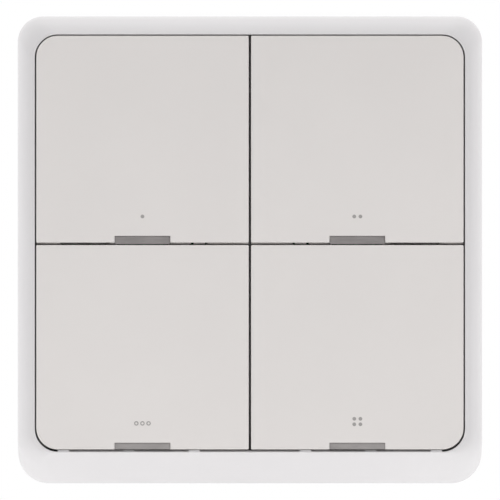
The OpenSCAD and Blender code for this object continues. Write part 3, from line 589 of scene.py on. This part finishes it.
def frame_skin(bm):
    rings = []
    for s, c in quarter(SMALL_STEPS):
        rings.append(even_ring(frame_back + BACK_EDGE * c, BACK_EDGE * (1 - s)))
    rim_start = front - RIM_DEPTH
    for k in range(CHIN_STEPS):
        rings.append(rim_ring(foot_start + (rim_start - foot_start) * k / CHIN_STEPS))
    for k in range(RIM_STEPS + 1):
        rings.append(rim_ring(rim_start + RIM_DEPTH * math.sin(math.pi / 2 * k / RIM_STEPS)))
    for s, c in quarter(SMALL_STEPS):
        rings.append(opening_ring(front - SEAM_EDGE * c, SEAM_EDGE * (1 - s)))
    rings.append(opening_ring(lip_z, 0))
    inner_top_r = CORNER_TOP_R - FRAME_WALL
    inner_bottom_r = CORNER_BOTTOM_R - FRAME_WALL
    shelf = CHIN_H - CHIN_SHELF
    rings.append(frame_ring(lip_z, FRAME_WALL, FRAME_WALL, shelf, inner_top_r, inner_bottom_r))
    rings.append(even_ring(chin_start, FRAME_WALL))
    rings.append(even_ring(frame_back + BACK_EDGE, FRAME_WALL))
    rings.append(even_ring(frame_back, FRAME_WALL - BACK_EDGE))
    loft(bm, rings, closed=True)


def frame_additions(bm):
    """Tabs and ledge in the lower seam, and snap ridges inside the back edge."""
    ledge_x = TAB_START + LAST_TAB * TAB_PITCH
    box(bm, (-ledge_x, opening_bottom - CHIN_SHELF / 2, lip_z + SEAM_EDGE),
        (ledge_x, opening_bottom + LEDGE_REACH, front - LEDGE_SINK), SEAM_EDGE / 2)
    for s in (-1, 1):
        for k in range(LAST_TAB + 1):
            x = s * (TAB_START + k * TAB_PITCH)
            sink = WINDOW_TAB_SINK if k == WINDOW_TAB else TAB_SINK
            box(bm, (x - TAB_W / 2, opening_bottom - CHIN_SHELF / 2, lip_z + SEAM_EDGE),
                (x + TAB_W / 2, opening_bottom + TAB_REACH, front - sink), SEAM_EDGE / 2)
    snap_ridges(bm, FRAME_WALL, frame_back + SNAP_H)


def snap_ridges(bm, inset, z):
    """A ridge on the middle of each of four faces, which lie inside the frame's outline by inset."""
    for s in (-1, 1):
        x, y = s * (half_w - inset), s * (frame_top - inset)
        box(bm, (x - SNAP_REACH, -SNAP_L / 2, z - SNAP_H / 2),
            (x + SNAP_REACH, SNAP_L / 2, z + SNAP_H / 2), SNAP_EDGE)
        box(bm, (-SNAP_L / 2, y - SNAP_REACH, z - SNAP_H / 2),
            (SNAP_L / 2, y + SNAP_REACH, z + SNAP_H / 2), SNAP_EDGE)


def pry_notch(bm):
    box(bm, (-NOTCH_W / 2, frame_bottom - FRAME_WALL, frame_back - NOTCH_H),
        (NOTCH_W / 2, frame_bottom + NOTCH_REACH, frame_back + NOTCH_H), NOTCH_EDGE)


frame_shell = piece("frame_shell", frame_skin, add=frame_additions, cut=pry_notch)
fit_out(frame_shell, "housing", "front_frame", frame_white)


# Keys
def key_corners(place):
    """Lowest and highest corner of a key without its lip."""
    low, high = drawn("button_" + place)
    if "upper" in place:
        low.y += KEY_LIP_REACH
    return low, high


def key_ring(place, z, inset):
    """A key's outline at depth z: one round outer corner and three tight ones."""
    low, high = key_corners(place)
    round_corner = {"lower_left": 0, "lower_right": 1, "upper_right": 2, "upper_left": 3}[place]
    radii = [KEY_CORNER_R if k == round_corner else KEY_INNER_R for k in range(4)]
    least = KEY_INNER_R / 4
    radii = [max(r - inset, least) for r in radii]
    return lifted(rounded_outline(low.x + inset, high.x - inset, low.y + inset, high.y - inset, radii), z)


def key_foot(place):
    """The middle of a key's lower edge."""
    low, high = key_corners(place)
    return (low.x + high.x) / 2, low.y


def lip_spans(place):
    """Where an upper key's lip runs along x, between its gaps."""
    low, high = key_corners(place)
    x, half = (low.x + high.x) / 2, (high.x - low.x) / 2 - LIP_EDGE
    beside_window = WINDOW_W / 2 + 2 * WINDOW_FIT
    near = LIP_SLOTS_X - LIP_SLOT_PITCH / 2
    far = LIP_SLOTS_X + LIP_SLOT_PITCH / 2
    r = LIP_SLOT_W / 2
    spans = ((-half, -far - r), (-far + r, -near - r), (-near + r, -beside_window),
             (beside_window, LIP_GAP_X), (LIP_GAP_X + LIP_GAP_W, half))
    outward = -1 if "left" in place else 1
    return [tuple(sorted((x + outward * a, x + outward * b))) for a, b in spans]


def tilt_joint(place):
    return next(j for j in frame["joints"] if j["name"] == f"button_{place}_tilt")


def hinge_point(place):
    """Height and depth of a key's hinge line."""
    place_m = tilt_joint(place)["pos_m"]
    return place_m[2] / MM, -place_m[1] / MM


def make_key(place):
    x, low_y = key_foot(place)
    hinge_y, hinge_z = hinge_point(place)
    outward = -1 if "left" in place else 1
    skirt_end = key_under - SKIRT_H

    def cap(bm):
        rings = [key_ring(place, key_under, SKIRT_T), key_ring(place, skirt_end, SKIRT_T)]
        rings.append(key_ring(place, skirt_end, SKIRT_EDGE))
        rings.append(key_ring(place, skirt_end + SKIRT_EDGE, 0))
        for s, c in quarter(SMALL_STEPS):
            rings.append(key_ring(place, front - KEY_EDGE * (1 - s), KEY_EDGE * c))
        rings.append(key_ring(place, front, KEY_EDGE + KEY_SUPPORT))
        loft(bm, rings)

    def underside(bm):
        root = key_under + KEY_T / 3
        for s in (-1, 1):
            lug = x + s * LUG_X
            box(bm, (lug - LUG_T / 2, hinge_y - LUG_W / 2, hinge_z - PIN_D / 2 - LUG_FOOT),
                (lug + LUG_T / 2, hinge_y + LUG_W / 2, root), SKIRT_EDGE)
            pin(bm, lug + s * (LUG_T / 2 - SKIRT_EDGE), hinge_y, hinge_z, PIN_D / 2, PIN_L + SKIRT_EDGE, s)
        r = ACTUATOR_D / 2
        dome = [(r * s, ACTUATOR_END + r * c) for s, c in quarter(2 * SMALL_STEPS)]
        turned(bm, [(ACTUATOR_TIP_R, ACTUATOR_END)] + dome[1:] + [(r, root)], x, hinge_y - SWITCH_ARM)
        turned(bm, [(SPRING_POST_D / 2, skirt_end), (SPRING_POST_D / 2, root)], x, hinge_y - SPRING_ARM)
        for hook_x in (x - outward * HOOK_INNER_X, x + outward * HOOK_OUTER_X):
            foot = low_y + SKIRT_T
            box(bm, (hook_x - HOOK_W / 2, foot - SKIRT_EDGE, HOOK_END),
                (hook_x + HOOK_W / 2, foot + HOOK_T, root), SKIRT_EDGE)
            box(bm, (hook_x - HOOK_W / 2, foot - SKIRT_EDGE, HOOK_END),
                (hook_x + HOOK_W / 2, foot + HOOK_T + HOOK_CATCH, HOOK_END + HOOK_NOSE), SKIRT_EDGE)
        if "upper" in place:
            for start, end in lip_spans(place):
                box(bm, (start, low_y - KEY_LIP_REACH, key_under + LIP_EDGE),
                    (end, low_y + SKIRT_T / 2, front - KEY_LIP_SINK), LIP_EDGE)
            start, end = sorted((x + outward * LIP_GAP_X, x + outward * (LIP_GAP_X + LIP_GAP_W)))
            step_z = key_under - LIP_STEP_SINK
            box(bm, (start, low_y - KEY_LIP_REACH, step_z - LIP_STEP_T),
                (end, low_y + SKIRT_T / 2, step_z), LIP_EDGE)

    def recesses(bm):
        reach = WINDOW_W / 2 + WINDOW_FIT
        box(bm, (x - reach, low_y - OVER, skirt_end - OVER),
            (x + reach, low_y + WINDOW_H + WINDOW_FIT, front + OVER))
        for spot_x, spot_y in mark_centres(place):
            mark_shape(bm, place, spot_x, spot_y, front - MARK_DEPTH, front + OVER, 0)

    made = piece("key_cap_" + place, cap, add=underside, cut=recesses)
    fit_out(made, "button_" + place, "button_" + place, key_white)


def mark_centres(place):
    x, low_y = key_foot(place)
    return [(x + MARK_PITCH * sx, low_y + MARK_RISE + MARK_PITCH * sy) for sx, sy in MARK_SPOTS[place]]


def mark_shape(bm, place, x, y, low_z, high_z, fit):
    """A dot, or a ring on the third key, between two depths and smaller all round by fit."""
    if place != "lower_left":
        r = MARK_D / 2 - fit
        turned(bm, [(r, low_z), (r, high_z)], x, y, MARK_STEPS)
        return
    r = RING_D / 2 - fit
    inner = RING_D / 2 - RING_LINE + fit
    profile = ((r, low_z), (r, high_z), (inner, high_z), (inner, low_z))
    turned(bm, profile, x, y, MARK_STEPS, closed=True)


def make_marks(place):
    def ink(bm):
        for x, y in mark_centres(place):
            mark_shape(bm, place, x, y, front - MARK_DEPTH + INK_FIT, front - INK_SINK, INK_FIT)

    made = piece("key_marks_" + place, ink)
    made.data.materials.append(mark_ink)
    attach(made, "button_" + place)


def make_window(place):
    x, low_y = key_foot(place)
    flange_z = key_under - FLANGE_T
    drop = WINDOW_DROP if "upper" in place else 0.0

    def pane(bm):
        box(bm, (x - WINDOW_W / 2, low_y - drop, flange_z),
            (x + WINDOW_W / 2, low_y + WINDOW_H, front - WINDOW_SINK), WINDOW_EDGE)

    def light_pipe(bm):
        box(bm, (x - WINDOW_W / 2 - FLANGE_REACH, low_y + SKIRT_T + WINDOW_FIT, flange_z),
            (x + WINDOW_W / 2 + FLANGE_REACH, low_y + WINDOW_H + FLANGE_REACH, key_under), WINDOW_EDGE)
        box(bm, (x - PIPE_W / 2, low_y + PIPE_STEP, PIPE_END),
            (x + PIPE_W / 2, low_y + WINDOW_H, key_under), WINDOW_EDGE)

    made = piece("smoked_window_" + place, pane, add=light_pipe)
    # Each row's window takes its copy of the smoke: painted shade on the upper row, painted light on the lower row
    row = "upper" if "upper" in place else "lower"
    fit_out(made, "button_" + place, "light_window_" + place, WINDOW_PAINTED_SHADES[row])


# Return springs
SPRING_TURNS = 3
SPRING_WIRE = 0.4
SPRING_TURN_STEPS = 28
SPRING_SIDES = 12


def make_spring(place):
    low, high = drawn("return_spring_" + place)
    x, y = (low.x + high.x) / 2, (low.y + high.y) / 2
    wire_r = SPRING_WIRE / 2
    coil_r = (high.x - low.x) / 2 - wire_r
    start, end = low.z + wire_r, high.z - wire_r

    def helix(bm):
        rings = []
        steps = SPRING_TURNS * SPRING_TURN_STEPS
        for k in range(steps + 1):
            turn = 2 * math.pi * k / SPRING_TURN_STEPS
            ring = []
            for j in range(SPRING_SIDES):
                a = 2 * math.pi * j / SPRING_SIDES
                r = coil_r + wire_r * math.cos(a)
                z = start + (end - start) * k / steps + wire_r * math.sin(a)
                ring.append((x + r * math.cos(turn), y + r * math.sin(turn), z))
            rings.append(ring)
        loft(bm, rings)

    made = piece("coil_spring_" + place, helix)
    fit_out(made, "housing", "return_spring_" + place, FINISHES["steel"])
    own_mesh(made)


for place in PLACES:
    make_key(place)
    make_marks(place)
    make_window(place)
    make_spring(place)


# Wall plate
PLATE_INSET = 3.65
PLATE_EDGE = 0.25
PLATE_OPEN_R = 21.0
PLATE_CHAMFER = 0.35
WALL_SPACING = 60.0
WALL_SLOT_W = 4.4
WALL_SLOT_L = 8.0
WALL_HEAD_W = 7.6
WALL_HEAD_H = 1.2
plate_t = drawn("wall_plate")[1].z


def slot_outline(length, width, grow, middle, turn):
    """A slot with round ends, its middle on the x axis, turned about the panel's middle."""
    half, r = length / 2 + grow, width / 2 + grow
    points = rounded_outline(middle - half, middle + half, -r, r, (r, r, r, r), SLOT_STEPS)
    c, s = math.cos(turn), math.sin(turn)
    return [(x * c - y * s, x * s + y * c) for x, y in points]


def plate_body(bm):
    rings = []
    for s, c in quarter(SMALL_STEPS):
        rings.append(even_ring(PLATE_EDGE * c, PLATE_INSET + PLATE_EDGE * (1 - s)))
    for s, c in quarter(SMALL_STEPS):
        rings.append(even_ring(plate_t - PLATE_EDGE * (1 - s), PLATE_INSET + PLATE_EDGE * c))
    loft(bm, rings)


def plate_ridges(bm):
    snap_ridges(bm, PLATE_INSET, plate_t / 2)


def plate_openings(bm):
    r, wide = PLATE_OPEN_R, PLATE_OPEN_R + PLATE_CHAMFER + OVER
    profile = [(wide, -OVER), (r, PLATE_CHAMFER), (r, plate_t - PLATE_CHAMFER), (wide, plate_t + OVER)]
    turned(bm, profile, steps=WIDE_STEPS)
    middle = WALL_SPACING / 2
    head_l = WALL_SLOT_L + WALL_HEAD_W - WALL_SLOT_W
    for k in range(4):
        turn = math.pi / 2 * k
        mouth = slot_outline(WALL_SLOT_L, WALL_SLOT_W, PLATE_CHAMFER + OVER, middle, turn)
        shank = slot_outline(WALL_SLOT_L, WALL_SLOT_W, 0, middle, turn)
        head = slot_outline(head_l, WALL_HEAD_W, 0, middle, turn)
        loft(bm, [lifted(mouth, -OVER), lifted(shank, PLATE_CHAMFER), lifted(shank, plate_t + OVER)])
        loft(bm, [lifted(head, plate_t - WALL_HEAD_H), lifted(head, plate_t + OVER)])


plate_piece = piece("plate_shell", plate_body, add=plate_ridges, cut=plate_openings)
fit_out(plate_piece, "housing", "wall_plate", FINISHES["plate_grey"])

# Battery cap
RING_IN_R = 12.5
RING_R = 13.4
CAP_FLANGE_R = 15.6
CAP_FLANGE_T = 1.1
CAP_FLOOR_T = 2.8
CAP_LUG_R = 14.5
CAP_LUG_H = 0.9
CAP_LUG_ANGLE = 30
CAP_LUG_STEPS = 10
CAP_EDGE = 0.25
COIN_SLOT_L = 16.0
COIN_SLOT_W = 2.0
COIN_SLOT_H = 0.6
cap_low, cap_high = drawn("battery_cap")


def cap_body(bm):
    low, top = cap_low.z, cap_high.z
    profile = [(RING_IN_R, low + CAP_FLOOR_T), (RING_IN_R, top - CAP_EDGE), (RING_IN_R + CAP_EDGE, top),
               (RING_R - CAP_EDGE, top), (RING_R, top - CAP_EDGE), (RING_R, low + CAP_FLANGE_T)]
    for s, c in quarter(SMALL_STEPS):
        profile.append((CAP_FLANGE_R - CAP_EDGE * (1 - s), low + CAP_FLANGE_T - CAP_EDGE * c))
    for s, c in quarter(SMALL_STEPS):
        profile.append((CAP_FLANGE_R - CAP_EDGE * c, low + CAP_EDGE * (1 - s)))
    turned(bm, profile, steps=WIDE_STEPS)


def cap_lugs(bm):
    low, top = cap_high.z - CAP_LUG_H, cap_high.z
    inner, outer = RING_R - CAP_EDGE, CAP_LUG_R
    corners = ((inner, low), (outer - CAP_EDGE, low), (outer, low + CAP_EDGE), (outer, top - CAP_EDGE),
               (outer - CAP_EDGE, top), (inner, top))
    for middle in (0, 120, 240):
        sections = []
        for k in range(CAP_LUG_STEPS + 1):
            a = math.radians(middle + CAP_LUG_ANGLE * (k / CAP_LUG_STEPS - 0.5))
            sections.append([(r * math.cos(a), r * math.sin(a), z) for r, z in corners])
        loft(bm, sections)


def coin_slot(bm):
    edge = CAP_EDGE / 2
    mouth = slot_outline(COIN_SLOT_L, COIN_SLOT_W, edge + OVER, 0, 0)
    slot = slot_outline(COIN_SLOT_L, COIN_SLOT_W, 0, 0, 0)
    loft(bm, [lifted(mouth, cap_low.z - OVER), lifted(slot, cap_low.z + edge),
              lifted(slot, cap_low.z + COIN_SLOT_H)])


cap_piece = piece("cap_shell", cap_body, add=cap_lugs, cut=coin_slot)
fit_out(cap_piece, "battery_cap", "battery_cap", FINISHES["housing_white"])

# CAD nodes that keep their own shape
SLOTS = {part["node"]: part["material_slot"] for part in frame["record"]["subparts"]}
for name, cad in frame["nodes"].items():
    if not cad.hide_render:
        cad.data.materials.clear()
        cad.data.materials.append(FINISHES[SLOTS[name]])

# Camera: a long lens straight at the front, framed as the photograph is
PHOTO_PX = 500
FRAME_PX = 464.2
FRAME_CENTRE_PX = (249.9, 250.2)
CAMERA_Z = 3000.0
SENSOR = 36.0
CLIP_END = 10.0
px = 2 * half_w / FRAME_PX
camera_data = bpy.data.cameras.new("camera")
camera = bpy.data.objects.new("camera", camera_data)
bpy.context.scene.collection.objects.link(camera)
bpy.context.scene.camera = camera
camera_x = (PHOTO_PX / 2 - FRAME_CENTRE_PX[0]) * px
camera_y = (FRAME_CENTRE_PX[1] - PHOTO_PX / 2) * px
camera.location = at(camera_x, camera_y, CAMERA_Z)
camera.rotation_euler = (math.radians(90), 0, 0)
camera_data.sensor_width = SENSOR
camera_data.lens = SENSOR * (CAMERA_Z - front + RIM_DEPTH) / (PHOTO_PX * px)
camera_data.clip_end = CLIP_END

# Floor, below the photograph's view
FLOOR_Y = -60.0
FLOOR_HALF = 450.0
FLOOR_FADE = (100.0, 380.0)
FLOOR_PALE = srgb(229, 229, 229)
FLOOR_SCALE = 300.0
FLOOR_SPREAD = 0.01
FLOOR_ROUGHNESS = 0.9
FLOOR_GLOSS = 0.1
FLOOR_GLOW = 0.44


def floor_material():
    """Pale floor that keeps the object's shadow, fades to white further out and gives light from below."""
    made, tree, shader = new_material("pale_floor")
    place = node(tree, "ShaderNodeTexCoord").outputs["Object"]
    speckle = noise(tree, place, FLOOR_SCALE)
    tint = mottled(tree, speckle, shade(FLOOR_PALE, 1 - FLOOR_SPREAD), shade(FLOOR_PALE, 1 + FLOOR_SPREAD))
    tree.links.new(tint, shader.inputs["Base Color"])
    shader.inputs["Roughness"].default_value = FLOOR_ROUGHNESS
    shader.inputs["Specular IOR Level"].default_value = FLOOR_GLOSS
    reach = node(tree, "ShaderNodeVectorMath", {0: place}, operation="LENGTH").outputs["Value"]
    fade = node(tree, "ShaderNodeMapRange", {
        "Value": reach, "From Min": FLOOR_FADE[0] * MM, "From Max": FLOOR_FADE[1] * MM},
        interpolation_type="SMOOTHSTEP")
    white = node(tree, "ShaderNodeEmission", {"Color": (1, 1, 1, 1), "Strength": 1.0})
    shown = node(tree, "ShaderNodeMixShader", {
        0: fade.outputs["Result"], 1: shader.outputs[0], 2: white.outputs[0]})
    glow = node(tree, "ShaderNodeEmission", {"Color": (1, 1, 1, 1), "Strength": FLOOR_GLOW})
    uplight = node(tree, "ShaderNodeAddShader", {0: shader.outputs[0], 1: glow.outputs[0]})
    mixed = node(tree, "ShaderNodeMixShader", {
        0: seen_directly(tree), 1: uplight.outputs[0], 2: shown.outputs[0]})
    tree.links.new(mixed.outputs[0], tree.nodes["Material Output"].inputs["Surface"])
    return made


def seen_directly(tree):
    """One for rays from the camera, from gloss and through glass, and zero for light on surfaces."""
    path = node(tree, "ShaderNodeLightPath")
    glossy = node(tree, "ShaderNodeMath", {
        0: path.outputs["Is Camera Ray"], 1: path.outputs["Is Glossy Ray"]}, operation="MAXIMUM")
    through = node(tree, "ShaderNodeMath", {
        0: glossy.outputs["Value"], 1: path.outputs["Is Transmission Ray"]}, operation="MAXIMUM")
    return through.outputs["Value"]


bm = bmesh.new()
bmesh.ops.create_grid(bm, x_segments=2, y_segments=2, size=FLOOR_HALF * MM)
floor_mesh = bpy.data.meshes.new("floor")
bm.to_mesh(floor_mesh)
bm.free()
floor = bpy.data.objects.new("floor", floor_mesh)
bpy.context.scene.collection.objects.link(floor)
floor.location = at(0, FLOOR_Y, 0)
floor_mesh.materials.append(floor_material())

# Light: a tent whose brightness goes from the camera's side to the wall's side, and soft boxes
TENT_LEVEL = 1.64
TENT = (
    (-1.0, 0.0),
    (-0.85, 0.06),
    (-0.65, 0.36),
    (-0.4, 0.81),
    (-0.1, 1.0),
    (0.3, 0.71),
    (1.0, 0.4),
)
SOFTBOXES = {
    "light_above": ((0, 700, 60), 400, 0.84),
    "light_front": ((0, 500, 500), 400, 0.37),
}


def light_tent():
    world = bpy.data.worlds.new("light_tent")
    world.use_nodes = True
    tree = world.node_tree
    backdrop = tree.nodes["Background"]
    backdrop.inputs["Color"].default_value = (1, 1, 1, 1)
    backdrop.inputs["Strength"].default_value = 1.0
    direction = node(tree, "ShaderNodeTexCoord").outputs["Generated"]
    depth = node(tree, "ShaderNodeSeparateXYZ", {0: direction}).outputs["Y"]
    along = node(tree, "ShaderNodeMapRange", {"Value": depth, "From Min": -1.0, "From Max": 1.0})
    stops = [((place + 1) / 2, (level, level, level, 1.0)) for place, level in TENT]
    colour = ramp(tree, along.outputs["Result"], stops)
    tent = node(tree, "ShaderNodeBackground", {"Color": colour, "Strength": TENT_LEVEL})
    mixed = node(tree, "ShaderNodeMixShader", {
        0: seen_directly(tree), 1: tent.outputs[0], 2: backdrop.outputs[0]})
    tree.links.new(mixed.outputs[0], tree.nodes["World Output"].inputs["Surface"])
    bpy.context.scene.world = world


def softbox(name, place, size, power):
    """A square area light, in watts, aimed at the middle of the panel."""
    data = bpy.data.lights.new(name, "AREA")
    data.shape = "SQUARE"
    data.size = size * MM
    data.energy = power
    made = bpy.data.objects.new(name, data)
    bpy.context.scene.collection.objects.link(made)
    made.location = at(*place)
    aim = at(0, 0, front / 2) - made.location
    made.rotation_euler = aim.to_track_quat("-Z", "Y").to_euler()


light_tent()
for name, (place, size, power) in SOFTBOXES.items():
    softbox(name, place, size, power)

bpy.context.scene.view_settings.view_transform = "Standard"
